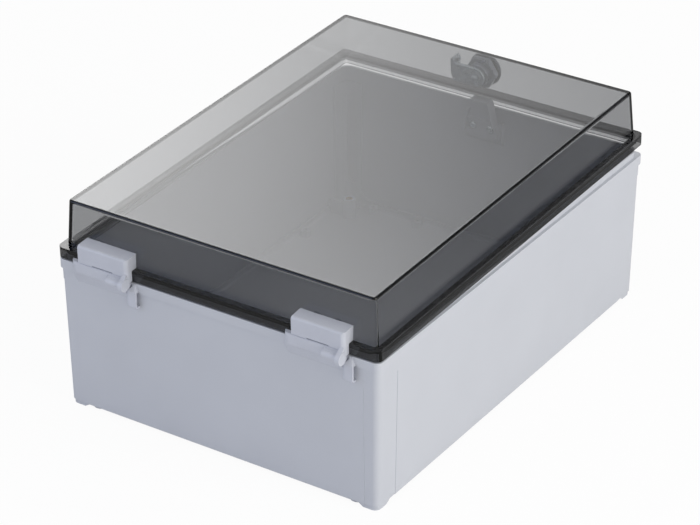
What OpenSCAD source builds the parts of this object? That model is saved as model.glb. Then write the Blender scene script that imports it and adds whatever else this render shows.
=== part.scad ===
// Wall-mount polycarbonate enclosure with a hinged smoke cover and a cam lock.
// Origin: centre of the back plane, on the feet. +Z points away from the wall, the hinges are at -Y.

/* [Enclosure] */
// Width across the rim, along X
box_w = 280; // [262:1:330]
// Length across the rim, along Y
box_l = 380; // [350:1:440]
// Height of the base rim above the wall
base_h = 124.5; // [112:0.5:160]
// Rise of the cover above its flange
cover_rise = 37.4; // [35:0.1:60]
// Angle that the cover stands open at rest, in degrees
cover_ajar = 1.28; // [0:0.01:1.6]

/* [Base tub] */
// Thickness of the side walls
wall_t = 3.2; // [2.8:0.1:4]
// Thickness of the floor
floor_t = 4; // [3:0.1:5.5]
// How much the walls lean in from the rim to the floor
base_taper = 1.7; // [0.8:0.1:2.6]
// Height of the thick rim band
rim_h = 7.5; // [6:0.1:10]
// How far the rim band stands out from the wall
rim_step = 1; // [0.4:0.1:1.4]
// Corner radius of the rim
rim_r = 5; // [4:0.1:7]
// Depth of the wall panels between the corner columns
panel_d = 1.8; // [0.8:0.1:2.6]
// Width of a corner column, seen from inside
column_w = 17; // [15:0.5:22]
// Width of the groove in a corner column
groove_w = 11; // [7:0.5:11]
// Depth of the groove in a corner column
groove_d = 2; // [0.6:0.1:2]
// Distance of the groove from the side of its column
groove_side = 3.5; // [3:0.1:4]
// Height of the groove's lower end centre
groove_low = 30; // [20:1:50]
// Distance of the groove's upper end centre below the rim band
groove_up = 16; // [12:1:40]
// Relief of the outer corner strips behind the wall
strip_d = 0.3; // [0.2:0.1:0.8]
// Width of the outer corner strips on the short walls
strip_x = 14; // [10:1:24]
// Width of the outer corner strips on the long walls
strip_y = 26; // [16:1:36]
// Height of the feet
foot_h = 2.5; // [1.5:0.1:4]
// Length of a foot along each wall
foot_len = 12; // [8:0.5:16]

/* [Seal] */
// Inset of the sealing tongue from the rim edge
tongue_in = 2.6; // [2.4:0.1:3]
// Thickness of the sealing tongue
tongue_t = 2.4; // [1.8:0.1:2.6]
// Height of the sealing tongue above the rim
tongue_h = 5; // [4:0.1:5.6]
// Outer corner radius of the sealing tongue
tongue_r = 10; // [8:0.5:13]
// Clearance beside the tongue in the cover's channel
channel_gap = 0.8; // [0.7:0.1:0.9]
// Thickness of the gasket
gasket_t = 2.2; // [1.6:0.1:2.6]
// Gap between the tongue and the gasket with the cover shut
gasket_gap = 0.3; // [0.2:0.05:0.5]

/* [Cover] */
// Thickness of the cover's walls and top
cover_t = 3; // [2.5:0.1:3.4]
// Height of the cover's flange
flange_h = 8.7; // [8.4:0.1:12]
// Seam between rim and flange with the cover shut
seam = 0.8; // [0.6:0.1:1]
// Inset of the cover's wall at its foot
cover_in = 5.1; // [4.8:0.1:5.6]
// How much the cover's walls lean in up to the top
cover_taper = 2.25; // [1.2:0.05:3]
// Corner radius of the cover's walls
cover_r = 3.2; // [3:0.1:5]
// Length of the grip bead on each long flange
bead_l = 284; // [200:2:300]
// Height of the grip bead
bead_h = 0.6; // [0.3:0.1:1]

/* [Hinges] */
// Distance of each hinge's middle from the side of the rim
hinge_in = 46.6; // [40:0.1:60]
// Width of a hinge leaf
leaf_w = 44; // [40:1:50]
// How far a leaf stands out from the rim
leaf_out = 6.5; // [5.5:0.1:7]
// Height of the upper leaf's underside above the rim
leaf_low = 6.5; // [6:0.1:7.5]
// Height of the upper leaf above the flange
leaf_rise = 11.6; // [10:0.1:14]
// Distance of the pivot in front of the rim
pivot_out = 8.5; // [8.4:0.1:9.3]
// Height of the pivot above the rim
pivot_up = 0.9; // [0.7:0.1:1.4]
// Radius of the hinge pin
pin_r = 1.7; // [1.5:0.1:1.9]
// Running clearance round the pin
pin_gap = 0.05; // [0.02:0.01:0.1]
// Radius of the knuckle on the upper leaf
knuckle_r = 4.9; // [4.7:0.1:5.2]
// Thickness of the knuckle and its arm
knuckle_t = 3.8; // [3.4:0.1:4.6]
// Length of the hinge pin
pin_l = 14; // [8:0.5:15]
// Radius of the pin barrel on the lower leaf
barrel_r = 3; // [2.9:0.1:3.2]
// Gap between the two leaves with the cover shut
leaf_gap = 0.4; // [0.4:0.1:0.8]
// How far the lower leaf runs past the upper one at its plain end
leaf_tail = 7.5; // [5:0.5:9]
// Drop of the lug below the rim
lug_drop = 19.3; // [16:0.1:22]
// How far the lug stands out from the rim
lug_out = 4.2; // [3.6:0.1:4.8]
// Width of the lug
lug_w = 8.9; // [8:0.1:9.4]
// Distance between the two screws of a leaf
leaf_screws = 18; // [14:1:22]
// Radius of the hinge screws
screw_r = 1.9; // [1.5:0.1:2]
// Length of the upper leaf's screws
leaf_screw_l = 11.5; // [10:0.5:12]
// Length of the lower leaf's screws
base_screw_l = 7; // [6.4:0.1:7.2]
// Depth of the lower leaf's screws below the rim
base_screw_drop = 3.6; // [3.2:0.1:4]
// Thickness of the sealing washers on the cover's wall
washer_t = 0.8; // [0.6:0.1:1.2]
// Radius of the sealing washers
washer_r = 4.2; // [3.8:0.1:4.6]

/* [Lock] */
// Height of the lock on the cover's wall, above the flange
lock_up = 19.5; // [18.5:0.1:20]
// Radius of the lock's outer flange
lock_flange_r = 14; // [12:0.5:15]
// Thickness of the lock's outer flange
lock_flange_t = 2.8; // [2.2:0.1:3.4]
// Thickness of the seal under the flange
seal_t = 0.8; // [0.6:0.1:1.2]
// Radius of the lock's nut across its corners
nut_r = 14; // [13:0.1:14.2]
// Thickness of the lock's nut
nut_t = 5; // [4:0.5:6]
// Radius of the lock's barrel
lock_r = 9.5; // [8.5:0.1:10]
// Radius of the turning plug
plug_r = 6.5; // [5.5:0.1:7]
// Width of the plug's square tang
tang = 7; // [6:0.1:7.4]
// Distance from the wall to the cam
lock_len = 13.3; // [12.5:0.1:13.5]
// Reach of the cam from the lock's axis
cam_reach = 22.3; // [21.8:0.1:22.5]
// Thickness of the cam plate
cam_t = 3; // [2:0.1:3.2]
// Half width of the cam's arm
cam_r = 8; // [7:0.1:8]
// Height of the cam's hook above the lock's axis
cam_hook = 12.4; // [11:0.1:13]
// Depth of the lug that is bent back from the cam
cam_lug = 7; // [5:0.1:7]
// Thickness of the lug
lug_t = 3.1; // [2.6:0.1:3.3]
// Gap between the cam's lug and the striker's ledge
latch_gap = 0.45; // [0.35:0.05:0.6]
// Thickness of the striker's ledge
ledge_t = 3.4; // [2.8:0.1:3.5]
// Half width of the striker at its top
striker_top = 9.5; // [8:0.5:10]
// Half width of the striker at its foot
striker_foot = 16; // [15:0.5:18]
// Thickness of the striker's plate
striker_t = 2.2; // [1.8:0.1:2.4]
// Length of the striker's screws in the wall
striker_screw_l = 6.5; // [5.5:0.5:7]

/* [Floor] */
// Inset of the mounting plate posts from the long sides of the rim
post_in_x = 26; // [24:1:40]
// Inset of the mounting plate posts from the short sides of the rim
post_in_y = 31; // [28:1:50]
// Height of the posts above the floor
post_h = 17; // [10:0.5:24]
// Radius of the posts
post_r = 5.5; // [5:0.1:7]
// Core radius of the thread in the posts' inserts
thread_r = 1.65; // [1.3:0.05:2]
// Radius of the brass inserts
insert_r = 2.9; // [2.6:0.1:3.4]
// Length of the brass inserts
insert_l = 8; // [6:0.5:10]
// Inset of the wall fixing holes from the long sides of the rim
fix_in_x = 25; // [23:1:32]
// Inset of the wall fixing holes from the short sides of the rim
fix_in_y = 12; // [11:1:15]
// Radius of the wall fixing holes
fix_r = 2.75; // [2:0.05:3.5]

/* [Hidden] */
$fn = 64;
eps = 0.01;

body_grey = [0.80, 0.81, 0.82];
smoke = [0.30, 0.31, 0.32, 0.55];
zinc = [0.66, 0.68, 0.71];
brass = [0.78, 0.63, 0.32];
black = [0.10, 0.10, 0.11];

// Heights, with the cover shut
band_z = base_h - rim_h;
tongue_z = base_h + tongue_h;
flange_z = base_h + seam;
flange_top = flange_z + flange_h;
cover_top = flange_top + cover_rise;
floor_z = foot_h + floor_t;

// Insets from the rim edge
cavity_in = tongue_in + tongue_t;
cavity_r = tongue_r - tongue_t;
channel_out = tongue_in - channel_gap;
channel_in = cavity_in + channel_gap;
channel_h = tongue_h - seam + gasket_gap + gasket_t;

// Cover walls
cover_lean = cover_taper / cover_rise;
cover_draft = atan(cover_lean);
function cover_inset(z) = cover_in + (z - flange_top) * cover_lean;

// Hinge axis, parallel to X
hinge_x = box_w / 2 - hinge_in;
pivot_y = -box_l / 2 - pivot_out;
pivot_z = base_h + pivot_up;
leaf_y = -box_l / 2 - leaf_out;
leaf_z = base_h + leaf_low;
leaf_top = flange_top + leaf_rise;
leaf_screw_z = leaf_top - 3.6;
leaf_side = leaf_w / 2;
arm_x = leaf_side - knuckle_t;
pin_x = leaf_side - 1.2 - pin_l;
base_screw_z = base_h - base_screw_drop;
side_gap = 0.3;

// Lock frame: origin on the outer face of the far wall, local Z points into the box, local Y up
lock_z = flange_top + lock_up;
lock_y = box_l / 2 - cover_inset(lock_z);
lug_in = cam_reach - lug_t;

// Striker, with the cover shut
ledge_r = lug_in - latch_gap;
striker_z = lock_z - (lock_len - cam_lug) * sin(cover_draft);
striker_head = striker_z - ledge_r + ledge_t;
ledge_back = lock_y + lug_in * sin(cover_draft) - (lock_len - cam_lug) * cos(cover_draft) + 0.5;
ledge_front = ledge_back - cam_lug;
striker_back = ledge_back + striker_t;
striker_z0 = band_z - 14;
striker_screw_x = 8.4;
striker_screw_z = striker_z0 + 9;

// Plate posts, wall fixing holes, and low bosses measured from the nearest post
post_x = box_w - 2 * post_in_x;
post_y = box_l - 2 * post_in_y;
fix_x = box_w - 2 * fix_in_x;
fix_y = box_l - 2 * fix_in_y;
low_bosses = [[-56, 17], [-13, 17], [12, -47]];

// A rectangle with round corners
module rounded(w, l, r) {
  square([w - 2 * r, l], center = true);
  square([w, l - 2 * r], center = true);
  for (sx = [-1, 1], sy = [-1, 1])
    translate([sx * (w / 2 - r), sy * (l / 2 - r)])
      circle(r);
}

// A slab of the box's plan, inset from the rim edge
module slab(inset, r, z, h) {
  translate([0, 0, z])
    linear_extrude(h)
      rounded(box_w - 2 * inset, box_l - 2 * inset, r);
}

// A solid that tapers between two insets
module taper(low_in, low_z, high_in, high_z, r, edge = 0) {
  hull() {
    slab(low_in + edge, r - edge / 2, low_z, eps);
    slab(low_in, r, low_z + edge, eps);
    slab(high_in, r, high_z - eps, eps);
  }
}

// A plate that is drawn in Y and Z and runs along X
module along_x(x0, x1) {
  translate([x0, 0, 0])
    rotate([90, 0, 90])
      linear_extrude(x1 - x0)
        children();
}

// A shape in the place that it has on the open cover
module on_cover() {
  translate([0, pivot_y, pivot_z])
    rotate([cover_ajar, 0, 0])
      translate([0, -pivot_y, -pivot_z])
        children();
}

// A shape in the lock's frame, with the cover at rest
module at_lock() {
  on_cover()
    translate([0, lock_y, lock_z])
      rotate([90 + cover_draft, 0, 0])
        children();
}

// A shape square to the cover's front wall, local Z into the box
module at_leaf_screws() {
  on_cover()
    for (side = [-1, 1], x = [-leaf_screws / 2, leaf_screws / 2])
      translate([side * hinge_x + x, -box_l / 2 + cover_inset(leaf_screw_z), leaf_screw_z])
        rotate([-90 - cover_draft, 0, 0])
          children();
}

module tube(r_out, r_in, h) {
  difference() {
    cylinder(r = r_out, h = h);
    translate([0, 0, -1])
      cylinder(r = r_in, h = h + 2);
  }
}

// ---- base ----

// Outer form of the tub below the rim, without the relief of the corner strips
module tub_outside(extra) {
  taper(rim_step + base_taper + extra, foot_h, rim_step + extra, band_z + 1, rim_r, 1);
}

// The middle of each wall and the band under the rim, which stand in front of the corner strips
module wall_windows() {
  translate([-(box_w / 2 - strip_x), -box_l, 0])
    cube([box_w - 2 * strip_x, 2 * box_l, base_h]);
  translate([-box_w, -(box_l / 2 - strip_y), 0])
    cube([2 * box_w, box_l - 2 * strip_y, base_h]);
  translate([-box_w, -box_l, band_z - 10])
    cube([2 * box_w, 2 * box_l, base_h]);
}

// Room inside the tub, with the panels between the corner columns
module tub_inside() {
  inset = rim_step + wall_t + panel_d;
  taper(inset + base_taper, floor_z, inset, band_z, cavity_r - 1, 1.5);
  slab(cavity_in, cavity_r, band_z - eps, tongue_z - band_z + 1);
  intersection() {
    taper(inset - panel_d + base_taper, floor_z, inset - panel_d, band_z, cavity_r, 1.5);
    union() {
      panel_x = box_w / 2 - cavity_in - column_w;
      panel_y = box_l / 2 - cavity_in - column_w;
      panel_z = floor_z + 5;
      rotate([90, 0, 0])
        linear_extrude(2 * box_l, center = true)
          panel(panel_x, panel_z);
      rotate([90, 0, 90])
        linear_extrude(2 * box_w, center = true)
          panel(panel_y, panel_z);
    }
  }
}

// Outline of one wall panel, open at the top and round at its lower corners
module panel(half, z0) {
  r = 10;
  translate([-half, z0 + r])
    square([2 * half, band_z]);
  translate([-half + r, z0])
    square([2 * half - 2 * r, r + 1]);
  for (s = [-1, 1])
    translate([s * (half - r), z0 + r])
      circle(r);
}

// Upright grooves with round ends in the corner columns of the short walls
module column_grooves() {
  x = box_w / 2 - cavity_in - column_w + groove_w / 2 + groove_side;
  for (sx = [-1, 1], sy = [-1, 1])
    translate([sx * x, sy * (box_l / 2 - rim_step - wall_t - panel_d - base_taper / 2), 0])
      rotate([90, 0, 0])
        linear_extrude(2 * groove_d, center = true) {
          translate([-groove_w / 2, groove_low])
            square([groove_w, band_z - groove_up - groove_low]);
          translate([0, groove_low])
            circle(groove_w / 2);
          translate([0, band_z - groove_up])
            circle(groove_w / 2);
        }
}

// Corner feet, sloped on the sides that face along the walls
module feet() {
  reach = rim_step + base_taper + 1;
  intersection() {
    slab(reach, rim_r, 0, foot_h + 1);
    rotate([90, 0, 0])
      linear_extrude(2 * box_l, center = true)
        foot_profile(box_w / 2 - reach);
    rotate([90, 0, 90])
      linear_extrude(2 * box_w, center = true)
        foot_profile(box_l / 2 - reach);
  }
}

// Side view of the two feet on one wall
module foot_profile(half) {
  slope = 1.6 * (foot_h + 1);
  for (s = [-1, 1])
    scale([s, 1])
      polygon([[half + 1, 0], [half - foot_len, 0], [half - foot_len - slope, foot_h + 1],
               [half + 1, foot_h + 1]]);
}

// Posts for a mounting plate, each braced to its side wall
module plate_posts() {
  wall_x = box_w / 2 - rim_step - wall_t;
  for (sx = [-1, 1], sy = [-1, 1])
    scale([sx, sy, 1]) {
      translate([post_x / 2, post_y / 2, foot_h + 1])
        cylinder(r = post_r, h = floor_z - foot_h - 1 + post_h);
      translate([post_x / 2, post_y / 2 - 1.2, foot_h + 1])
        cube([wall_x - post_x / 2, 2.4, floor_z - foot_h - 1 + 0.7 * post_h]);
    }
}

// Places of the low bosses beside the posts
module low_boss_places() {
  for (sx = [-1, 1], sy = [-1, 1], place = low_bosses)
    translate([sx * (post_x / 2 + place[0]), sy * (post_y / 2 + place[1]), 0])
      children();
}

// Solid pad behind the striker
module striker_pad() {
  wall_y = box_l / 2 - rim_step - wall_t / 2;
  along_x(-striker_foot - 1, striker_foot + 1)
    polygon([[wall_y, striker_z0 - 8], [striker_back, striker_z0 - 2], [striker_back, band_z + 1],
             [wall_y, band_z + 1]]);
}

module base_tub() {
  color(body_grey)
    difference() {
      union() {
        difference() {
          union() {
            tub_outside(strip_d);
            intersection() {
              tub_outside(0);
              wall_windows();
            }
            slab(0, rim_r, band_z, rim_h);
            slab(tongue_in, tongue_r, base_h - 1, tongue_h + 1);
          }
          tub_inside();
          column_grooves();
        }
        feet();
        plate_posts();
        striker_pad();
        low_boss_places()
          translate([0, 0, foot_h + 1])
            cylinder(r = 4, h = floor_z - foot_h + 4);
        for (sx = [-1, 1], sy = [-1, 1])
          translate([sx * fix_x / 2, sy * fix_y / 2, 0])
            cylinder(r = fix_r + 3.5, h = floor_z - 1);
      }
      for (sx = [-1, 1], sy = [-1, 1]) {
        translate([sx * post_x / 2, sy * post_y / 2, floor_z + post_h - insert_l - 1])
          cylinder(r = insert_r, h = insert_l + 2);
        translate([sx * fix_x / 2, sy * fix_y / 2, -1])
          cylinder(r = fix_r, h = floor_z + 2);
      }
      low_boss_places()
        translate([0, 0, floor_z])
          cylinder(r = 1.4, h = 10);
      base_screw_places()
        translate([0, 0, -1])
          cylinder(r = screw_r + 0.1, h = 12);
      striker_screw_places()
        translate([0, 0, -1])
          cylinder(r = screw_r, h = striker_screw_l);
    }
}

module floor_inserts() {
  color(brass)
    for (sx = [-1, 1], sy = [-1, 1])
      translate([sx * post_x / 2, sy * post_y / 2, floor_z + post_h - insert_l]) {
        tube(insert_r - 0.25, thread_r, insert_l);
        for (z = [0, insert_l - 3])
          translate([0, 0, z])
            tube(insert_r, thread_r, 2.6);
      }
}

// ---- striker ----

module striker_screw_places() {
  for (s = [-1, 1])
    translate([s * striker_screw_x, striker_back, striker_screw_z])
      rotate([-90, 0, 0])
        children();
}

// Front view of the striker plate, which narrows up to its ledge
module striker_outline(trim) {
  polygon([[-striker_foot + trim, striker_z0 + 2], [-striker_foot + 2 + trim, striker_z0],
           [striker_foot - 2 - trim, striker_z0], [striker_foot - trim, striker_z0 + 2],
           [striker_foot - 2 - trim, striker_z0 + 14], [striker_top - trim, striker_head - 3],
           [striker_top - 1.5 - trim, striker_head], [-striker_top + 1.5 + trim, striker_head],
           [-striker_top + trim, striker_head - 3], [-striker_foot + 2 + trim, striker_z0 + 14]]);
}

// The plate's outline between two heights, cut back from its edges
module striker_band(z0, z1, trim = 0) {
  intersection() {
    striker_outline(trim);
    translate([-striker_foot, z0])
      square([2 * striker_foot, z1 - z0]);
  }
}

// A striker shape that stands out from the plate towards the cam
module striker_front(depth) {
  translate([0, ledge_back + eps, 0])
    rotate([90, 0, 0])
      linear_extrude(depth + eps)
        children();
}

// Plate with two side flanges, a shelf over the screws, and a ledge that is round under the cam's way in
module striker() {
  flange_t = 1.4;
  hook_sweep = striker_z - norm([cam_reach, cam_hook]) - 0.6;
  color(body_grey)
    difference() {
      union() {
        translate([0, striker_back, 0])
          rotate([90, 0, 0])
            linear_extrude(striker_t)
              striker_outline(0);
        striker_front(cam_lug) {
          intersection() {
            striker_band(striker_head - 8, striker_head);
            union() {
              translate([0, striker_z])
                circle(ledge_r, $fn = 128);
              translate([0, striker_z - ledge_r])
                square(striker_foot);
            }
          }
          difference() {
            striker_band(striker_z0 + 14, striker_head);
            translate([-flange_t, 0])
              striker_outline(0);
          }
        }
        striker_front(4)
          difference() {
            striker_band(striker_z0 + 4, hook_sweep);
            striker_outline(flange_t);
          }
        striker_front(2)
          striker_band(striker_z0 + 15, striker_z0 + 16.6, 1);
      }
      striker_screw_places()
        translate([0, 0, -striker_t - 1])
          cylinder(r = screw_r + 0.1, h = striker_t + 2);
    }
}

// A screw with a domed head; local Z runs along the shank, z = 0 under the head
module pan_screw(r, length) {
  head = 1.75 * r;
  difference() {
    union() {
      cylinder(r = r, h = length - 1);
      translate([0, 0, length - 1])
        cylinder(r1 = r, r2 = r * 0.6, h = 1);
      translate([0, 0, -0.9])
        cylinder(r = head, h = 0.9);
      translate([0, 0, -1.8])
        cylinder(r1 = head * 0.7, r2 = head, h = 0.9);
    }
    for (a = [0, 90])
      rotate([0, 0, a])
        translate([-head * 0.5, -0.4, -3])
          cube([head, 0.8, 2.2]);
  }
}

module striker_screws() {
  color(zinc)
    striker_screw_places()
      translate([0, 0, -striker_t])
        pan_screw(screw_r - 0.02, striker_screw_l + striker_t - 1.2);
}

// ---- hinges ----

module base_screw_places() {
  for (side = [-1, 1], x = [-leaf_screws, 0])
    translate([side * hinge_x + x, -box_l / 2 + cavity_in, base_screw_z])
      rotate([90, 0, 0])
        children();
}

// Lower leaf: a corbel on the rim, a barrel for the pin, and a hollow lug beside the knuckle
module hinge_base(side) {
  face = -box_l / 2;
  left = -leaf_side - leaf_tail;
  right = arm_x - side_gap;
  top = leaf_z - leaf_gap;
  reach = knuckle_r + 0.45;
  difference() {
    translate([side * hinge_x, 0, 0]) {
      intersection() {
        along_x(left, right)
          intersection() {
            polygon([[face + rim_step, band_z - 7], [face + rim_step, band_z], [face, band_z],
                     [face, base_h - 0.2], [face - 0.5, base_h - 0.2], [face - 0.5, top],
                     [leaf_y + 0.6, top], [leaf_y, top - 0.6], [leaf_y, base_h - 1.5],
                     [leaf_y + 1, base_h - 4]]);
            union() {
              translate([pivot_y, pivot_z])
                circle(pivot_out - 0.4);
              translate([leaf_y - 1, band_z - 8])
                square([leaf_out + 3, rim_h + 8 - 0.2]);
            }
          }
        translate([left, leaf_y, band_z - 8])
          corner_post(5, right - left, 30);
      }
      along_x(pin_x - 1, right) {
        translate([pivot_y, pivot_z])
          circle(barrel_r);
        polygon([[pivot_y, pivot_z - barrel_r], [leaf_y + 1, pivot_z - barrel_r - 2], [leaf_y + 1, top - 1],
                 [leaf_y, top - 1], [pivot_y, pivot_z + barrel_r]]);
      }
      along_x(arm_x - 2, leaf_side - 1)
        polygon([[face, band_z + 1], [face, base_h - 0.2], [pivot_y + reach, base_h - 0.2],
                 [pivot_y + reach, band_z + 1]]);
      hinge_lug();
    }
    translate([side * hinge_x, 0, 0])
      along_x(pin_x, arm_x + 1)
        translate([pivot_y, pivot_z])
          circle(pin_r + 0.01);
    base_screw_places()
      translate([0, 0, cavity_in])
        cylinder(r = screw_r + 0.02, h = base_screw_l - cavity_in);
  }
}

// A plate along X whose outer corner at X = 0 is round, seen from above
module corner_post(r, length, h) {
  linear_extrude(h) {
    translate([r, 0])
      square([length - r, 20]);
    translate([0, r])
      square([2 * r, 20]);
    translate([r, r])
      circle(r);
  }
}

// Lug below and beside the knuckle, narrow at its top and open on its far side
module hinge_lug() {
  face = -box_l / 2;
  wall_y = face + rim_step;
  top = base_h - 0.3;
  lug_z = base_h - lug_drop;
  lug_y = face - lug_out;
  lug_x = leaf_side + 5.3 - lug_w;
  difference() {
    intersection() {
      along_x(lug_x, lug_x + lug_w)
        difference() {
          polygon([[wall_y, lug_z], [wall_y, band_z], [face, band_z], [face, top], [face - 0.8, top],
                   [lug_y, top - 5.2], [lug_y, lug_z + 1.5], [lug_y + 1.5, lug_z]]);
          translate([pivot_y, pivot_z])
            circle(knuckle_r + 0.45);
        }
      translate([lug_x, lug_y, lug_z])
        corner_post(2.8, lug_w, 30);
      translate([lug_x, face + 5, 0])
        rotate([90, 0, 0])
          linear_extrude(20)
            polygon([[0, lug_z], [0, top - 6.5], [lug_w - 4.4, top - 1.6], [lug_w - 4.4, top],
                     [lug_w - 2, top], [lug_w - 2, top - 2], [lug_w, top - 5.4], [lug_w, lug_z]]);
    }
    translate([lug_x + lug_w - 4, lug_y + 1.6, lug_z + 1.2])
      cube([lug_w, lug_out + 0.2, band_z - lug_z]);
  }
}

module hinge_base_left() {
  color(body_grey)
    hinge_base(-1);
}

module hinge_base_right() {
  color(body_grey)
    hinge_base(1);
}

module hinge_base_screws() {
  color(zinc)
    base_screw_places()
      pan_screw(screw_r, base_screw_l - 0.4);
}

// Pin, fast in the lower leaf's barrel and running in the knuckle
module hinge_pin(side) {
  color(zinc)
    translate([side * hinge_x, 0, 0])
      along_x(pin_x, pin_x + pin_l)
        translate([pivot_y, pivot_z])
          circle(pin_r);
}

module hinge_pin_left() {
  hinge_pin(-1);
}

module hinge_pin_right() {
  hinge_pin(1);
}

// Upper leaf: a block that stands on the flange, with an arm down to the knuckle
module hinge_leaf(side) {
  face = -box_l / 2;
  back = face - side_gap;
  foot_y = face + cover_in;
  top_y = face + cover_inset(leaf_top);
  round_r = 3.5;
  color(body_grey)
    on_cover()
      difference() {
        translate([side * hinge_x, 0, 0]) {
          intersection() {
            union() {
              along_x(-leaf_side, leaf_side) {
                polygon([[foot_y, flange_top], [back, flange_top], [back, leaf_z], [leaf_y, leaf_z],
                         [leaf_y, leaf_top - 2.6], [leaf_y + 2, leaf_top - 0.6], [top_y, leaf_top]]);
                translate([leaf_y + 2, leaf_top - 2.6])
                  circle(2);
              }
              along_x(arm_x, leaf_side)
                polygon([[back, leaf_z + 1], [leaf_y, leaf_z + 1], [leaf_y, base_h + 1.3],
                         [back, base_h + 1.3]]);
            }
            translate([-leaf_side, leaf_y, base_h])
              linear_extrude(leaf_top) {
                square([leaf_w - round_r, 20]);
                translate([0, round_r])
                  square([leaf_w, 20]);
                translate([leaf_w - round_r, round_r])
                  circle(round_r);
              }
          }
          along_x(arm_x, leaf_side)
            translate([pivot_y, pivot_z])
              circle(knuckle_r);
          along_x(arm_x, leaf_side - 0.6)
            polygon([[pivot_y, pivot_z], [leaf_y + 1, base_h + 1.3], [leaf_y + 1, pivot_z + knuckle_r + 2.5],
                     [leaf_y, pivot_z + knuckle_r + 2.5], [pivot_y - 1, pivot_z + knuckle_r - 0.1]]);
        }
        translate([side * hinge_x - 9.25, leaf_y - 1, leaf_z - 1])
          cube([18.5, leaf_out - 1, 1.7]);
        translate([side * hinge_x, 0, 0])
          along_x(arm_x - 1, leaf_side - 1)
            translate([pivot_y, pivot_z])
              circle(pin_r + pin_gap);
        leaf_screw_bores(side);
      }
}

// Pilot holes for the leaf's screws, square to the wall
module leaf_screw_bores(side) {
  for (x = [-leaf_screws / 2, leaf_screws / 2])
    translate([side * hinge_x + x, -box_l / 2 + cover_inset(leaf_screw_z), leaf_screw_z])
      rotate([90 - cover_draft, 0, 0])
        translate([0, 0, -2])
          cylinder(r = screw_r + 0.02, h = 2 + leaf_screw_l - cover_t - washer_t);
}

module hinge_leaf_left() {
  hinge_leaf(-1);
}

module hinge_leaf_right() {
  hinge_leaf(1);
}

module hinge_leaf_screws() {
  color(zinc)
    at_leaf_screws()
      translate([0, 0, cover_t + washer_t])
        rotate([180, 0, 0])
          pan_screw(screw_r, leaf_screw_l - 0.4);
}

module hinge_leaf_washers() {
  color(black)
    at_leaf_screws()
      translate([0, 0, cover_t])
        tube(washer_r, screw_r + 0.05, washer_t);
}

// ---- cover ----

module cover_shell() {
  inner_r = max(cover_r - cover_t, 0.6);
  inner_in = cover_in + cover_t;
  roof = cover_top - cover_t;
  color(smoke)
    difference() {
      on_cover()
        difference() {
          union() {
            slab(0, rim_r, flange_z, flange_h);
            hull() {
              slab(cover_in, cover_r, flange_top - 1, 1 + eps);
              slab(cover_inset(cover_top - 0.8), cover_r, cover_top - 0.8, eps);
              slab(cover_inset(cover_top) + 0.8, cover_r - 0.4, cover_top - eps, eps);
            }
            flange_beads();
          }
          hull() {
            slab(inner_in, inner_r, flange_z - 1, flange_top - flange_z + 1);
            slab(cover_inset(roof) + cover_t, inner_r, roof - eps, eps);
          }
          difference() {
            slab(channel_out, tongue_r + channel_gap, flange_z - 1, 1 + channel_h);
            slab(channel_in, cavity_r - channel_gap, flange_z - 2, 3 + channel_h);
          }
          flange_notches();
        }
      at_lock()
        translate([0, 0, -5])
          cylinder(r = lock_r + 0.1, h = 15);
      at_leaf_screws()
        translate([0, 0, -2])
          cylinder(r = screw_r + 0.15, h = 8);
    }
}

// Raised beads on top of the two long flanges, near their edge
module flange_beads() {
  for (s = [-1, 1])
    translate([s * (box_w / 2 - 1.1) - 0.5, -bead_l / 2 - 11, flange_top - 0.2])
      cube([1, bead_l, bead_h + 0.2]);
}

// Small nicks where the beads end
module flange_notches() {
  for (sx = [-1, 1], sy = [-1, 1])
    translate([sx * (box_w / 2 - 2.1), sy * bead_l / 2 - 11, flange_top - 0.9])
      linear_extrude(4)
        square([3, 1.6], center = true);
}

module cover_gasket() {
  color(black)
    on_cover()
      difference() {
        slab(channel_out + 0.05, tongue_r + channel_gap - 0.05, flange_z + channel_h - gasket_t, gasket_t);
        slab(channel_in - 0.05, cavity_r - channel_gap + 0.05, flange_z, 2 * channel_h);
      }
}

// ---- lock ----

// Threaded barrel with a bevelled flange outside the wall
module lock_housing() {
  color(zinc)
    at_lock()
      difference() {
        union() {
          translate([0, 0, -seal_t - lock_flange_t + 1])
            cylinder(r = lock_flange_r, h = lock_flange_t - 1);
          translate([0, 0, -seal_t - lock_flange_t])
            cylinder(r1 = lock_flange_r - 1.2, r2 = lock_flange_r, h = 1);
          translate([0, 0, -seal_t - eps])
            cylinder(r = lock_r, h = lock_len + seal_t - 0.3);
        }
        translate([0, 0, -10])
          cylinder(r = plug_r + 0.05, h = 40);
        translate([0, 0, -seal_t - lock_flange_t - 1])
          cylinder(r = plug_r + 1.3, h = 1.8);
      }
}

module lock_seal() {
  color(black)
    at_lock()
      translate([0, 0, -seal_t])
        tube(lock_flange_r - 0.8, lock_r + 0.05, seal_t);
}

// Hexagon nut with bevelled corners inside the wall
module lock_nut() {
  color(zinc)
    at_lock()
      translate([0, 0, cover_t])
        difference() {
          intersection() {
            cylinder(r = nut_r, h = nut_t, $fn = 6);
            union() {
              cylinder(r = nut_r - 0.4, h = nut_t - 1);
              translate([0, 0, nut_t - 1])
                cylinder(r1 = nut_r - 0.4, r2 = nut_r - 1.8, h = 1);
            }
          }
          translate([0, 0, -1])
            cylinder(r = lock_r + 0.05, h = nut_t + 2);
        }
}

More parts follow.
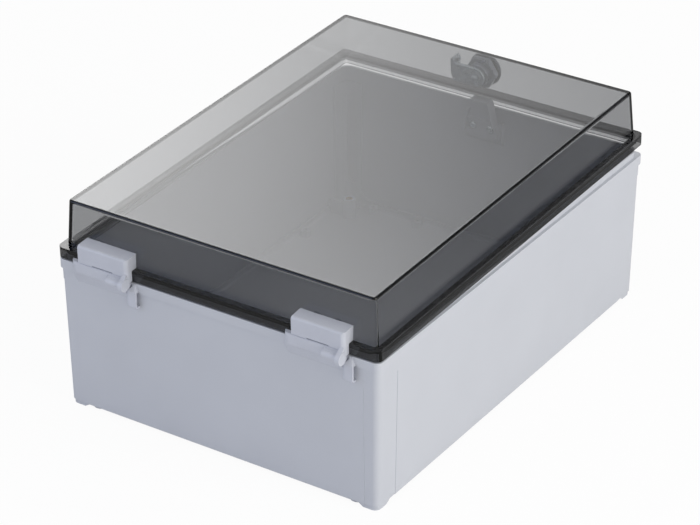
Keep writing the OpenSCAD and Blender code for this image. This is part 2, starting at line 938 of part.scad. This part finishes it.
// Turning plug with a key slot in front and a square tang for the cam
module lock_plug() {
  color(zinc)
    at_lock()
      difference() {
        union() {
          translate([0, 0, -seal_t - lock_flange_t + 0.9])
            cylinder(r = plug_r, h = lock_len + seal_t + lock_flange_t - 0.9 - 0.05);
          translate([-tang / 2, -tang / 2, lock_len - 1])
            cube([tang, tang, 1 + cam_t - 0.2]);
        }
        translate([-0.9, -4, -seal_t - lock_flange_t])
          cube([1.8, 8, 6]);
        translate([0, 0, -seal_t - lock_flange_t])
          cylinder(r = 1.6, h = 6);
        translate([0, 0, lock_len + cam_t - 9])
          cylinder(r = 1.65, h = 12);
      }
}

// Cam plate with a round eye, a broad arm and a hooked lug that is bent back to the wall
module lock_cam() {
  color(zinc)
    at_lock()
      difference() {
        union() {
          translate([0, 0, lock_len])
            linear_extrude(cam_t) {
              circle(cam_r);
              translate([-lug_in, -cam_r])
                square([lug_in, 2 * cam_r]);
              cam_hook_outline();
            }
          translate([0, 0, lock_len - cam_lug])
            linear_extrude(cam_lug + 1)
              cam_hook_outline();
        }
        translate([-tang / 2 - 0.1, -tang / 2 - 0.1, lock_len - 1])
          cube([tang + 0.2, tang + 0.2, cam_t + 2]);
      }
}

// End of the cam: a bar with a chamfered toe that rises above the arm
module cam_hook_outline() {
  polygon([[-cam_reach, -1.5], [-cam_reach, cam_hook - 1.6], [-cam_reach + 0.5, cam_hook - 0.5],
           [-cam_reach + 1.6, cam_hook], [-lug_in, cam_hook - 1.8], [-lug_in + 0.8, cam_r - 0.5],
           [-lug_in, cam_r - 2.5], [-lug_in, -cam_r], [-cam_reach + 2.2, -cam_r]]);
}

module cam_washer() {
  color(zinc)
    at_lock()
      translate([0, 0, lock_len + cam_t])
        tube(5.4, 1.75, 0.6);
}

module cam_screw() {
  color(zinc)
    at_lock()
      translate([0, 0, lock_len + cam_t + 0.6])
        rotate([180, 0, 0])
          pan_screw(1.62, 8);
}

base_tub();
floor_inserts();
striker();
striker_screws();
hinge_base_left();
hinge_base_right();
hinge_base_screws();
hinge_pin_left();
hinge_pin_right();
cover_shell();
cover_gasket();
hinge_leaf_left();
hinge_leaf_right();
hinge_leaf_screws();
hinge_leaf_washers();
lock_housing();
lock_seal();
lock_nut();
lock_plug();
lock_cam();
cam_washer();
cam_screw();
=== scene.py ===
import math

import bmesh
import bpy
from mathutils import Matrix, Vector


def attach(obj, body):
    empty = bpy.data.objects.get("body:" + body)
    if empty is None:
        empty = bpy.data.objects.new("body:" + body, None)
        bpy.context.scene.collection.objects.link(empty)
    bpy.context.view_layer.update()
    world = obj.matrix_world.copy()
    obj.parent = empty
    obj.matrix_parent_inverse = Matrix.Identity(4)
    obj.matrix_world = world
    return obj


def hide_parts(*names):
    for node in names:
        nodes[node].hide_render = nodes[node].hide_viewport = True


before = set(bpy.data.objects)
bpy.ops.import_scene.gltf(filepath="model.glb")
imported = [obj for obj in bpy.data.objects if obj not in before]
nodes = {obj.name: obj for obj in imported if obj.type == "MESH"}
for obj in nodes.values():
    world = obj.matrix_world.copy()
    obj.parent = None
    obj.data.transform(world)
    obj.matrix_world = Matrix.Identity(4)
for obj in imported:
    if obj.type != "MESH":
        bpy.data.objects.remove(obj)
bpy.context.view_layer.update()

mm = 0.001

view = {
    "place": (1.0810, -1.6540, 1.1800),  # metres
    "azimuth": 33.383,
    "elevation": 29.246,
    "roll": -0.206,
    "lens": 152.4,
    "sensor": 36,
    "clipEnd": 20,
}

studio = {
    "domeLevel": 0.62,
    "domeSeen": 1.0,  # what the camera sees, and what glass and metal mirror of the white sweep
    "domeOverhead": 0.05,  # what they mirror of the dark ceiling
    "horizonFrom": 0.1,  # the height at which the walls give way to the ceiling
    "horizonTo": 0.22,
    "sweepAim": (-0.48, 0.706, 0.52),  # where the lit sweep stands, behind the enclosure
    "sweepLevel": 4.1,
    "sweepDim": 0.4,
    "sweepLeft": 0.93,  # the sweep is brighter to its left and towards its top
    "sweepUp": 0.35,
    "sweepSoft": 0.145,
    "spotFrom": 0.8,  # the soft rim of the sweep
    "spotTo": 0.93,
    "lampAim": (0, 0, 0.08),
    "keyWatts": 38.0,
    "keySize": 1.5,
    "keyPlace": (2.6, -0.1, 1.2),
    "keyColour": "#FFFDF8",
    "fillWatts": 10.5,
    "fillSize": 1.8,
    "fillPlace": (-1.3, -2.3, 1.3),
    "fillColour": "#BCD0FF",
    "floorSize": 12.0,
    "floorColour": "#F2F2F2",
    "floorMirrored": 0.22,  # its level as glass and metal mirror it
    "floorGlow": 0.94,  # how much of the floor's seen colour is its own white
}


def linear(hexColour):
    channels = []
    for start in (1, 3, 5):
        c = int(hexColour[start:start + 2], 16) / 255
        channels.append(c / 12.92 if c <= 0.04045 else ((c + 0.055) / 1.055) ** 2.4)
    return (*channels, 1.0)


def addNode(tree, kind, settings=None, links=None):
    made = tree.nodes.new(kind)
    for name, value in (settings or {}).items():
        if name in made.inputs:
            made.inputs[name].default_value = value
        else:
            setattr(made, name, value)
    for name, source in (links or {}).items():
        tree.links.new(source, made.inputs[name])
    return made


def newMaterial(name):
    material = bpy.data.materials.new(name)
    material.use_nodes = True
    material.node_tree.nodes.clear()
    return material, material.node_tree


def largest(tree, *sources):
    first = sources[0]
    for source in sources[1:]:
        pair = addNode(tree, "ShaderNodeMath", {"operation": "MAXIMUM"})
        tree.links.new(first, pair.inputs[0])
        tree.links.new(source, pair.inputs[1])
        first = pair.outputs[0]
    return first


def makeCamera():
    data = bpy.data.cameras.new("camera")
    data.lens = view["lens"]
    data.sensor_width = view["sensor"]
    data.clip_end = view["clipEnd"]
    camera = bpy.data.objects.new("camera", data)
    bpy.context.scene.collection.objects.link(camera)
    turn = Matrix.Rotation(math.radians(view["azimuth"]), 4, "Z")
    tilt = Matrix.Rotation(math.radians(90 - view["elevation"]), 4, "X")
    roll = Matrix.Rotation(math.radians(view["roll"]), 4, "Z")
    camera.matrix_world = Matrix.Translation(view["place"]) @ turn @ tilt @ roll
    bpy.context.scene.camera = camera


def makeLamp(name, place, watts, size, colour):
    data = bpy.data.lights.new(name, "AREA")
    data.energy = watts
    data.size = size
    data.color = linear(colour)[:3]
    lamp = bpy.data.objects.new(name, data)
    lamp.location = place
    aim = Vector(studio["lampAim"]) - Vector(place)
    lamp.rotation_euler = aim.to_track_quat("-Z", "Y").to_euler()
    bpy.context.scene.collection.objects.link(lamp)


def alongWay(tree, way, aim):
    along = addNode(tree, "ShaderNodeVectorMath", {"operation": "DOT_PRODUCT"})
    tree.links.new(way, along.inputs[0])
    along.inputs[1].default_value = aim
    return along.outputs["Value"]


def makeWorld():
    world = bpy.data.worlds.new("studio")
    bpy.context.scene.world = world
    world.use_nodes = True
    tree = world.node_tree
    tree.nodes.clear()
    way = addNode(tree, "ShaderNodeTexCoord").outputs["Generated"]
    height = addNode(tree, "ShaderNodeSeparateXYZ", links={"Vector": way}).outputs["Z"]
    horizon = addNode(tree, "ShaderNodeMapRange", {
        "interpolation_type": "SMOOTHSTEP",
        "From Min": studio["horizonFrom"], "From Max": studio["horizonTo"],
        "To Min": studio["domeSeen"], "To Max": studio["domeOverhead"]}, {"Value": height})
    aim = Vector(studio["sweepAim"]).normalized()
    left = Vector((-aim.y, aim.x, 0)).normalized()
    rise = (left * studio["sweepLeft"] + aim.cross(left) * studio["sweepUp"]).normalized()
    spot = addNode(tree, "ShaderNodeMapRange", {
        "interpolation_type": "SMOOTHSTEP",
        "From Min": studio["spotFrom"], "From Max": studio["spotTo"], "To Max": 1.0}, {
        "Value": alongWay(tree, way, aim)})
    sweep = addNode(tree, "ShaderNodeMapRange", {
        "interpolation_type": "SMOOTHSTEP",
        "From Min": -studio["sweepSoft"], "From Max": studio["sweepSoft"],
        "To Min": studio["sweepDim"], "To Max": studio["sweepLevel"]}, {
        "Value": alongWay(tree, way, rise)})
    lit = addNode(tree, "ShaderNodeMath", {"operation": "MULTIPLY"})
    tree.links.new(spot.outputs["Result"], lit.inputs[0])
    tree.links.new(sweep.outputs["Result"], lit.inputs[1])
    path = addNode(tree, "ShaderNodeLightPath")
    mirrored = addNode(tree, "ShaderNodeMapRange", {"To Min": studio["domeLevel"]}, {
        "Value": path.outputs["Is Glossy Ray"],
        "To Max": largest(tree, horizon.outputs["Result"], lit.outputs[0])})
    straight = largest(tree, path.outputs["Is Camera Ray"], path.outputs["Is Transmission Ray"])
    level = addNode(tree, "ShaderNodeMapRange", {"To Max": studio["domeSeen"]}, {
        "Value": straight, "To Min": mirrored.outputs["Result"]})
    dome = addNode(tree, "ShaderNodeBackground", {"Color": linear("#FFFFFF")}, {
        "Strength": level.outputs["Result"]})
    addNode(tree, "ShaderNodeOutputWorld", links={"Surface": dome.outputs[0]})


def makeFloor():
    bpy.ops.mesh.primitive_plane_add(size=studio["floorSize"], location=(0, 0, 0))
    floor = bpy.context.object
    floor.name = "floor"
    material, tree = newMaterial("paper floor")  # plain white paper, no sheen
    path = addNode(tree, "ShaderNodeLightPath")
    straight = largest(tree, path.outputs["Is Camera Ray"], path.outputs["Is Transmission Ray"])
    seen = largest(tree, straight, path.outputs["Is Glossy Ray"])
    level = addNode(tree, "ShaderNodeMapRange", {"To Min": studio["floorMirrored"], "To Max": 1.0}, {
        "Value": straight})
    paper = addNode(tree, "ShaderNodeBsdfDiffuse", {"Color": linear(studio["floorColour"])})
    glow = addNode(tree, "ShaderNodeEmission", {"Color": linear("#FFFFFF")}, {
        "Strength": level.outputs["Result"]})
    share = addNode(tree, "ShaderNodeMapRange", {"To Max": studio["floorGlow"]}, {"Value": seen})
    mix = addNode(tree, "ShaderNodeMixShader", links={"Fac": share.outputs["Result"]})
    tree.links.new(paper.outputs[0], mix.inputs[1])
    tree.links.new(glow.outputs[0], mix.inputs[2])
    addNode(tree, "ShaderNodeOutputMaterial", links={"Surface": mix.outputs[0]})
    floor.data.materials.append(material)


grainBand = (0.3, 0.7)  # the part of a noise's range over which its tint and its gloss change


def objectGrain(tree, sizeMm, detail=2.0):
    place = addNode(tree, "ShaderNodeTexCoord")
    grain = addNode(tree, "ShaderNodeTexNoise", {
        "Scale": 1 / (sizeMm * mm), "Detail": detail},
        {"Vector": place.outputs["Object"]})
    return grain.outputs["Fac"]


def spread(tree, source, low, high):
    spreadNode = addNode(tree, "ShaderNodeMapRange", {
        "From Min": grainBand[0], "From Max": grainBand[1], "To Min": low, "To Max": high}, {
        "Value": source})
    return spreadNode.outputs["Result"]


def tint(tree, source, darkHex, lightHex):
    ramp = addNode(tree, "ShaderNodeValToRGB", links={"Fac": source})
    for element, place, colour in zip(ramp.color_ramp.elements, grainBand, (darkHex, lightHex)):
        element.position = place
        element.color = linear(colour)
    return ramp.outputs["Color"]


def mouldedPolycarbonate():
    # injection-moulded polycarbonate in light grey, spark-eroded mould: a fine satin grain
    look = {"dark": "#C6C9D1", "light": "#C9CCD4", "grainMm": 0.5, "cloudMm": 60,
            "grainDepth": 0.00002, "smooth": 0.40, "rough": 0.5}
    material, tree = newMaterial("moulded polycarbonate")
    cloud = objectGrain(tree, look["cloudMm"])
    grain = objectGrain(tree, look["grainMm"], 3)
    bump = addNode(tree, "ShaderNodeBump", {"Strength": 0.35, "Distance": look["grainDepth"]}, {
        "Height": grain})
    shader = addNode(tree, "ShaderNodeBsdfPrincipled", {"IOR": 1.585}, {
        "Base Color": tint(tree, cloud, look["dark"], look["light"]),
        "Roughness": spread(tree, grain, look["smooth"], look["rough"]),
        "Normal": bump.outputs["Normal"]})
    addNode(tree, "ShaderNodeOutputMaterial", links={"Surface": shader.outputs[0]})
    return material


def satinPolyamide():
    # the hinges, their washers and the striker: smoother than the tub, a soft sheen along their rounded edges
    look = {"dark": "#C6C9D3", "light": "#CACDD7", "cloudMm": 18, "grainMm": 0.35,
            "smooth": 0.26, "rough": 0.34}
    material, tree = newMaterial("satin polyamide")
    cloud = objectGrain(tree, look["cloudMm"])
    grain = objectGrain(tree, look["grainMm"], 3)
    bump = addNode(tree, "ShaderNodeBump", {"Strength": 0.2, "Distance": 0.00001}, {"Height": grain})
    shader = addNode(tree, "ShaderNodeBsdfPrincipled", {"IOR": 1.53}, {
        "Base Color": tint(tree, cloud, look["dark"], look["light"]),
        "Roughness": spread(tree, grain, look["smooth"], look["rough"]),
        "Normal": bump.outputs["Normal"]})
    addNode(tree, "ShaderNodeOutputMaterial", links={"Surface": shader.outputs[0]})
    return material


def smokedPolycarbonate():
    # clear polycarbonate with a smoke-grey dye through and through: the longer the way, the darker. Marked
    # faces also carry painted shade, a near-black base colour standing in for the light trapped in the thick
    # glass at the rounded top edge and the flange
    look = {"passed": "#B7B8BA", "density": 330, "gloss": 0.0, "clear": "#FFFFFF", "paintedShade": "#08080A"}
    material, tree = newMaterial("smoked polycarbonate")
    # painted shade: the ramp turns the marked faces near black, in place of light trapped in the glass
    paintedShade = addNode(tree, "ShaderNodeAttribute", {"attribute_name": "paintedShade"})
    ramp = addNode(tree, "ShaderNodeValToRGB", links={"Fac": paintedShade.outputs["Fac"]})
    ramp.color_ramp.elements[0].color = linear(look["clear"])
    ramp.color_ramp.elements[1].color = linear(look["paintedShade"])
    shader = addNode(tree, "ShaderNodeBsdfPrincipled", {
        "IOR": 1.585, "Roughness": look["gloss"], "Transmission Weight": 1.0}, {
        "Base Color": ramp.outputs["Color"]})
    dye = addNode(tree, "ShaderNodeVolumeAbsorption", {
        "Color": linear(look["passed"]), "Density": look["density"]})
    addNode(tree, "ShaderNodeOutputMaterial", links={
        "Surface": shader.outputs[0], "Volume": dye.outputs[0]})
    return material


def platedSteel(name, darkHex, lightHex, smooth, rough):
    # bright zinc plate on pressed steel or casting: bluish, with a faint cloudiness
    material, tree = newMaterial(name)
    cloud = objectGrain(tree, 6.0, 2)
    shader = addNode(tree, "ShaderNodeBsdfPrincipled", {"Metallic": 0.8}, {
        "Base Color": tint(tree, cloud, darkHex, lightHex),
        "Roughness": spread(tree, cloud, smooth, rough)})
    addNode(tree, "ShaderNodeOutputMaterial", links={"Surface": shader.outputs[0]})
    return material


def turnedBrass():
    # machined brass inserts: warm, a little worn from the tap
    material, tree = newMaterial("turned brass")
    cloud = objectGrain(tree, 1.2, 3)
    shader = addNode(tree, "ShaderNodeBsdfPrincipled", {"Metallic": 1.0}, {
        "Base Color": tint(tree, cloud, "#B08A45", "#C9A65E"),
        "Roughness": spread(tree, cloud, 0.25, 0.4)})
    addNode(tree, "ShaderNodeOutputMaterial", links={"Surface": shader.outputs[0]})
    return material


def sealRubber():
    # the foamed-in-place seal and the ring under the lock: matt black with a pitted skin
    material, tree = newMaterial("seal rubber")
    pits = objectGrain(tree, 0.8, 4)
    bump = addNode(tree, "ShaderNodeBump", {"Strength": 0.5, "Distance": 0.0001}, {"Height": pits})
    shader = addNode(tree, "ShaderNodeBsdfPrincipled", {"IOR": 1.5}, {
        "Base Color": tint(tree, pits, "#161618", "#26262A"),
        "Roughness": spread(tree, pits, 0.7, 0.9),
        "Normal": bump.outputs["Normal"]})
    addNode(tree, "ShaderNodeOutputMaterial", links={"Surface": shader.outputs[0]})
    return material


touching = 0.01  # mm within which two measures count as the same
upright = 0.9  # an edge whose way rises more stands up, and a face whose normal does lies level
lyingFlat = 0.01  # an edge whose way rises less lies level


def near(a, b, reach=touching):
    return abs(a - b) < reach


def leaveEditing(piece=None):
    # back to object mode with nothing selected, or with one piece alone
    if bpy.context.mode != "OBJECT":
        bpy.ops.object.mode_set(mode="OBJECT")
    bpy.ops.object.select_all(action="DESELECT")
    if piece:
        bpy.context.view_layer.objects.active = piece
        piece.select_set(True)


def startBox(name, low, high):
    # a box between two corners in mm, left in edit mode
    leaveEditing()
    centre = [(a + b) / 2 * mm for a, b in zip(low, high)]
    bpy.ops.mesh.primitive_cube_add(size=1, location=centre)
    piece = bpy.context.object
    piece.name = name
    piece.scale = [(b - a) * mm for a, b in zip(low, high)]
    bpy.ops.object.transform_apply(location=True, rotation=True, scale=True)
    bpy.ops.object.mode_set(mode="EDIT")
    return piece


def startRod(name, radius, length, sides, centre=(0, 0, 0), turn=(0, 0, 0)):
    # a round or many-sided bar about its own Z, turned by degrees and left in edit mode
    leaveEditing()
    bpy.ops.mesh.primitive_cylinder_add(
        vertices=sides, radius=radius * mm, depth=length * mm, location=[c * mm for c in centre],
        rotation=[math.radians(a) for a in turn])
    piece = bpy.context.object
    piece.name = name
    bpy.ops.object.transform_apply(location=True, rotation=True, scale=True)
    bpy.ops.object.mode_set(mode="EDIT")
    return piece


def choose(kind, test):
    # selects the faces, edges or points whose centre (mm) and direction pass the test
    bpy.ops.mesh.select_mode(type=kind)
    bpy.ops.mesh.select_all(action="DESELECT")
    mesh = bmesh.from_edit_mesh(bpy.context.edit_object.data)
    mesh.normal_update()
    for part in {"FACE": mesh.faces, "EDGE": mesh.edges, "VERT": mesh.verts}[kind]:
        if kind == "VERT":
            centre, way = part.co / mm, part.normal
        elif kind == "EDGE":
            ends = [v.co for v in part.verts]
            centre, way = (ends[0] + ends[1]) / 2 / mm, (ends[1] - ends[0]).normalized()
        else:
            centre, way = part.calc_center_median() / mm, part.normal
        if test(centre, way):
            part.select_set(True)
    bmesh.update_edit_mesh(bpy.context.edit_object.data)


def grow(x=0, y=0, z=0):
    bpy.ops.mesh.extrude_region_move(TRANSFORM_OT_translate={"value": (x * mm, y * mm, z * mm)})


def squeeze(x=1, y=1, z=1, about=(0, 0, 0)):
    bpy.ops.transform.resize(value=(x, y, z), center_override=[c * mm for c in about])


def roundEdges(rounding, test):
    # rounding is a width in mm and a number of steps
    choose("EDGE", test)
    width, steps = rounding
    bpy.ops.mesh.bevel(offset=width * mm, segments=steps, affect="EDGES", clamp_overlap=True)


def markPaintedShade(share):
    # notes on the selected faces how much painted shade darkens them, standing in for light trapped in the
    # glass
    mesh = bmesh.from_edit_mesh(bpy.context.edit_object.data)
    layer = mesh.faces.layers.float.get("paintedShade") or mesh.faces.layers.float.new("paintedShade")
    for face in mesh.faces:
        if face.select:
            face[layer] = share
    bmesh.update_edit_mesh(bpy.context.edit_object.data)


def carve(piece, tool, how="DIFFERENCE"):
    leaveEditing(piece)
    modifier = piece.modifiers.new("carve", "BOOLEAN")
    modifier.operation = how
    modifier.solver = "EXACT"
    modifier.object = tool
    bpy.ops.object.modifier_apply(modifier=modifier.name)
    bpy.data.objects.remove(tool)


def placeBy(piece, matrix):
    leaveEditing(piece)
    piece.matrix_world = matrix @ piece.matrix_world
    bpy.ops.object.transform_apply(location=True, rotation=True, scale=True)


def finishPiece(piece, material, body, slot, *stoodFor, smoothAngle=35):
    leaveEditing(piece)
    bpy.ops.object.transform_apply(location=True, rotation=True, scale=True)
    bpy.ops.object.shade_smooth_by_angle(angle=math.radians(smoothAngle))
    level = piece.modifiers.new("level", "WEIGHTED_NORMAL")  # keeps the broad faces flat beside their bevels
    level.keep_sharp = True
    bpy.ops.object.modifier_apply(modifier=level.name)
    piece.data.materials.clear()
    piece.data.materials.append(material)
    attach(piece, body)
    if stoodFor:
        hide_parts(*stoodFor)


soften = {"merge": 0.002, "level": 0.5}  # mm between points that become one, degrees between faces that do


def softCopy(name, width, steps, material, body, slot, angle=32):
    # a CAD piece's own mesh, merged, with the edges that are sharper than angle rounded
    piece = nodes[name].copy()
    piece.data = nodes[name].data.copy()
    piece.name = name + "_soft"
    bpy.context.scene.collection.objects.link(piece)
    leaveEditing(piece)
    bpy.ops.object.mode_set(mode="EDIT")
    bpy.ops.mesh.select_all(action="SELECT")
    bpy.ops.mesh.remove_doubles(threshold=soften["merge"] * mm)
    bpy.ops.mesh.dissolve_limited(angle_limit=math.radians(soften["level"]))
    leaveEditing(piece)
    bevel = piece.modifiers.new("bevel", "BEVEL")
    bevel.width = width * mm
    bevel.segments = steps
    bevel.limit_method = "ANGLE"
    bevel.angle_limit = math.radians(angle)
    bevel.use_clamp_overlap = True
    bpy.ops.object.modifier_apply(modifier=bevel.name)
    finishPiece(piece, material, body, slot, name)


def dressNodes(material, *names):
    for name in names:
        nodes[name].material_slots[0].material = material


makeCamera()
makeLamp("key", studio["keyPlace"], studio["keyWatts"], studio["keySize"], studio["keyColour"])
makeLamp("fill", studio["fillPlace"], studio["fillWatts"], studio["fillSize"], studio["fillColour"])
makeWorld()
bpy.ops.object.select_all(action="DESELECT")
makeFloor()
bpy.context.scene.view_settings.view_transform = "Standard"
print("stage: camera, lamps and floor")

tubPlastic = mouldedPolycarbonate()
hingePlastic = satinPolyamide()
smoke = smokedPolycarbonate()
steel = platedSteel("zinc plated steel", "#C3CCD2", "#D2DADE", 0.2, 0.3)
casting = platedSteel("zinc casting", "#9A9EA8", "#AAAEB8", 0.26, 0.36)
brass = turnedBrass()
rubber = sealRubber()
dressNodes(tubPlastic, "base_tub")
dressNodes(hingePlastic, "striker", "hinge_base_left", "hinge_base_right", "hinge_leaf_left",
           "hinge_leaf_right", "hinge_leaf_washers")
dressNodes(steel, "striker_screws", "hinge_base_screws", "hinge_pin_left", "hinge_pin_right",
           "hinge_leaf_screws", "lock_cam", "cam_washer", "cam_screw")
dressNodes(casting, "lock_housing", "lock_nut", "lock_plug")
dressNodes(rubber, "cover_gasket", "lock_seal")
dressNodes(brass, "floor_inserts")
print("stage: materials")

# where the cover lies at rest: a little open, about its hinge
hinge = {"y": -198.5, "z": 125.4, "ajar": 1.28}
hingeLine = Vector((0, hinge["y"] * mm, hinge["z"] * mm))
ajar = (Matrix.Translation(hingeLine) @ Matrix.Rotation(math.radians(hinge["ajar"]), 4, "X")
        @ Matrix.Translation(-hingeLine))

cover = {
    "halfWidth": 140, "halfLength": 190, "low": 125.3,
    "flange": 8.7, "rise": 37.4, "wall": 3.0,
    "inset": 5.1, "lean": 2.25,  # how far the wall stands in, at its foot and more at its top
    "channelFrom": 1.8, "channelTo": 5.8, "channelDepth": 6.7,
    # rounded corners and edges, each with its width and its steps
    "flangeCorner": (5, 6), "wallCorner": (3.2, 6), "innerCorner": (1.6, 3),
    "channelCorner": (10.8, 8), "tongueCorner": (6.8, 8),
    "topEdge": (1.7, 5), "roofEdge": (1.2, 4), "footEdge": (0.7, 3), "flangeEdge": (0.6, 2),
    # how near its line a corner, an edge or a face has to lie to be chosen
    "cornerReach": 1.4, "channelReach": 0.3, "footReach": 1.2, "rimReach": 1.6, "skinReach": 3.6,
    "slopeFrom": 0.08, "slopeTo": 0.99,  # the faces of the rounded top edge, by the rise of their normals
    "edgePaintedShade": 1.0, "flangePaintedShade": 0.88,  # painted shade: near-black colour where light is trapped in the glass
    "beadHalf": 142, "beadMiddle": -11, "beadIn": 1.6, "beadSide": 0.5,
    "beadHeight": 0.6, "beadDepth": 0.4, "beadEdge": (0.25, 2),
    "lockHole": 9.6, "lockSides": 48, "lockUp": 19.5,
    "screwHole": 2.05, "screwSides": 20, "screwUp": 8.0, "screwApart": 9, "hingeX": 93.4,
    "drillLength": 16,
}


def makeCover():
    c = cover
    halfX, halfY = c["halfWidth"], c["halfLength"]
    foot = c["low"] + c["flange"]
    top = foot + c["rise"]
    roof = top - c["wall"]
    draft = math.degrees(math.atan(c["lean"] / c["rise"]))
    shell = startBox("coverShell", (-halfX, -halfY, c["low"]), (halfX, halfY, foot))

    # the walls, drawn up from the flange
    choose("FACE", lambda p, n: n.z > upright)
    bpy.ops.mesh.inset(thickness=c["inset"] * mm)
    grow(z=c["rise"])
    squeeze(x=1 - c["lean"] / (halfX - c["inset"]), y=1 - c["lean"] / (halfY - c["inset"]),
            about=(0, 0, top))

    # the room inside and the channel for the seal, from below
    choose("FACE", lambda p, n: n.z < -upright)
    bpy.ops.mesh.inset(thickness=c["channelFrom"] * mm)
    bpy.ops.mesh.inset(thickness=(c["channelTo"] - c["channelFrom"]) * mm)
    innerIn = c["inset"] + c["wall"]
    bpy.ops.mesh.inset(thickness=(innerIn - c["channelTo"]) * mm)
    grow(z=c["flange"])
    grow(z=c["rise"] - c["wall"])
    leanIn = c["lean"] * (c["rise"] - c["wall"]) / c["rise"]
    squeeze(x=1 - leanIn / (halfX - innerIn), y=1 - leanIn / (halfY - innerIn), about=(0, 0, roof))
    middle = (c["channelFrom"] + c["channelTo"]) / 2
    choose("FACE", lambda p, n: n.z < -upright and near(p.z, c["low"]) and (
        near(abs(p.x), halfX - middle, c["channelReach"])
        or near(abs(p.y), halfY - middle, c["channelReach"])))
    grow(z=c["channelDepth"])

    # corners first, then the rims between them
    def corner(inset, zLow, zHigh):
        return lambda p, n: (
            abs(n.z) > upright and zLow < p.z < zHigh
            and near(abs(p.x), halfX - inset, c["cornerReach"])
            and near(abs(p.y), halfY - inset, c["cornerReach"]))

    channelTop = c["low"] + c["channelDepth"]
    roundEdges(c["flangeCorner"], corner(0, c["low"], foot))
    roundEdges(c["wallCorner"], corner(c["inset"] + c["lean"] / 2, foot, top))
    roundEdges(c["channelCorner"], corner(c["channelFrom"], c["low"], channelTop))
    roundEdges(c["tongueCorner"], corner(c["channelTo"], c["low"], channelTop))
    roundEdges(c["innerCorner"], corner(innerIn + leanIn / 2, foot, roof))
    roundEdges(c["innerCorner"], corner(innerIn, c["low"], foot))
    roundEdges(c["topEdge"], lambda p, n: near(p.z, top) and abs(n.z) < lyingFlat)
    # painted shade on the faces of the rounded top edge, where light is trapped in the glass
    choose("FACE", lambda p, n: p.z > top - c["topEdge"][0] and c["slopeFrom"] < n.z < c["slopeTo"])
    markPaintedShade(c["edgePaintedShade"])
    roundEdges(c["roofEdge"], lambda p, n: near(p.z, roof) and abs(n.z) < lyingFlat)
    return shell, draft, foot


def finishCover():
    c = cover
    halfX, halfY = c["halfWidth"], c["halfLength"]
    shell, draft, foot = makeCover()

    def atRim(p, reach):
        return abs(p.x) > halfX - reach or abs(p.y) > halfY - reach

    roundEdges(c["footEdge"], lambda p, n: near(p.z, foot) and abs(n.z) < lyingFlat and (
        near(abs(p.x), halfX - c["inset"], c["footReach"])
        or near(abs(p.y), halfY - c["inset"], c["footReach"])))
    roundEdges(c["flangeEdge"], lambda p, n: (
        abs(n.z) < lyingFlat and (near(p.z, foot) or near(p.z, c["low"])) and atRim(p, c["rimReach"])))

    # painted shade on the top and the outer skin of the flange, where light is trapped in the glass
    choose("FACE", lambda p, n: p.z < foot + touching and (n.z > upright or (
        abs(n.z) < upright and p.x * n.x + p.y * n.y > 0 and atRim(p, c["skinReach"]))))
    markPaintedShade(c["flangePaintedShade"])

    # a grip bead along each long side of the flange
    for side in (-1, 1):
        x = side * (halfX - c["beadIn"])
        low, high = c["beadMiddle"] - c["beadHalf"], c["beadMiddle"] + c["beadHalf"]
        bead = startBox("bead", (x - c["beadSide"], low, foot - c["beadDepth"]),
                        (x + c["beadSide"], high, foot + c["beadHeight"]))
        roundEdges(c["beadEdge"], lambda p, n: p.z > foot + c["beadHeight"] / 2)
        # the bead takes the flange's painted shade
        bpy.ops.mesh.select_all(action="SELECT")
        markPaintedShade(c["flangePaintedShade"])
        carve(shell, bead, "UNION")

    def throughWall(radius, sides, x, up, side):
        inset = c["inset"] + up * c["lean"] / c["rise"]
        place = (x, side * (halfY - inset), foot + up)
        turn = (90 + side * draft, 0, 0)
        carve(shell, startRod("drill", radius, c["drillLength"], sides, place, turn))

    throughWall(c["lockHole"], c["lockSides"], 0, c["lockUp"], 1)
    for side in (-1, 1):
        for apart in (-1, 1):
            x = side * c["hingeX"] + apart * c["screwApart"]
            throughWall(c["screwHole"], c["screwSides"], x, c["screwUp"], -1)
    placeBy(shell, ajar)
    finishPiece(shell, smoke, "cover", "smoke", "cover_shell", smoothAngle=30)


finishCover()
print("stage: cover")

softCopy("base_tub", 0.35, 2, tubPlastic, "base", "body_grey", angle=40)
for which in ("left", "right"):
    softCopy("hinge_base_" + which, 0.7, 3, hingePlastic, "base", "hinge_grey")
    softCopy("hinge_leaf_" + which, 0.8, 3, hingePlastic, "cover", "hinge_grey")
softCopy("striker", 0.4, 2, hingePlastic, "base", "hinge_grey")
softCopy("lock_nut", 0.7, 2, casting, "cover", "zinc")
softCopy("lock_housing", 0.5, 2, casting, "cover", "zinc")
softCopy("lock_cam", 0.5, 2, steel, "cam", "zinc")
print("stage: softened pieces")
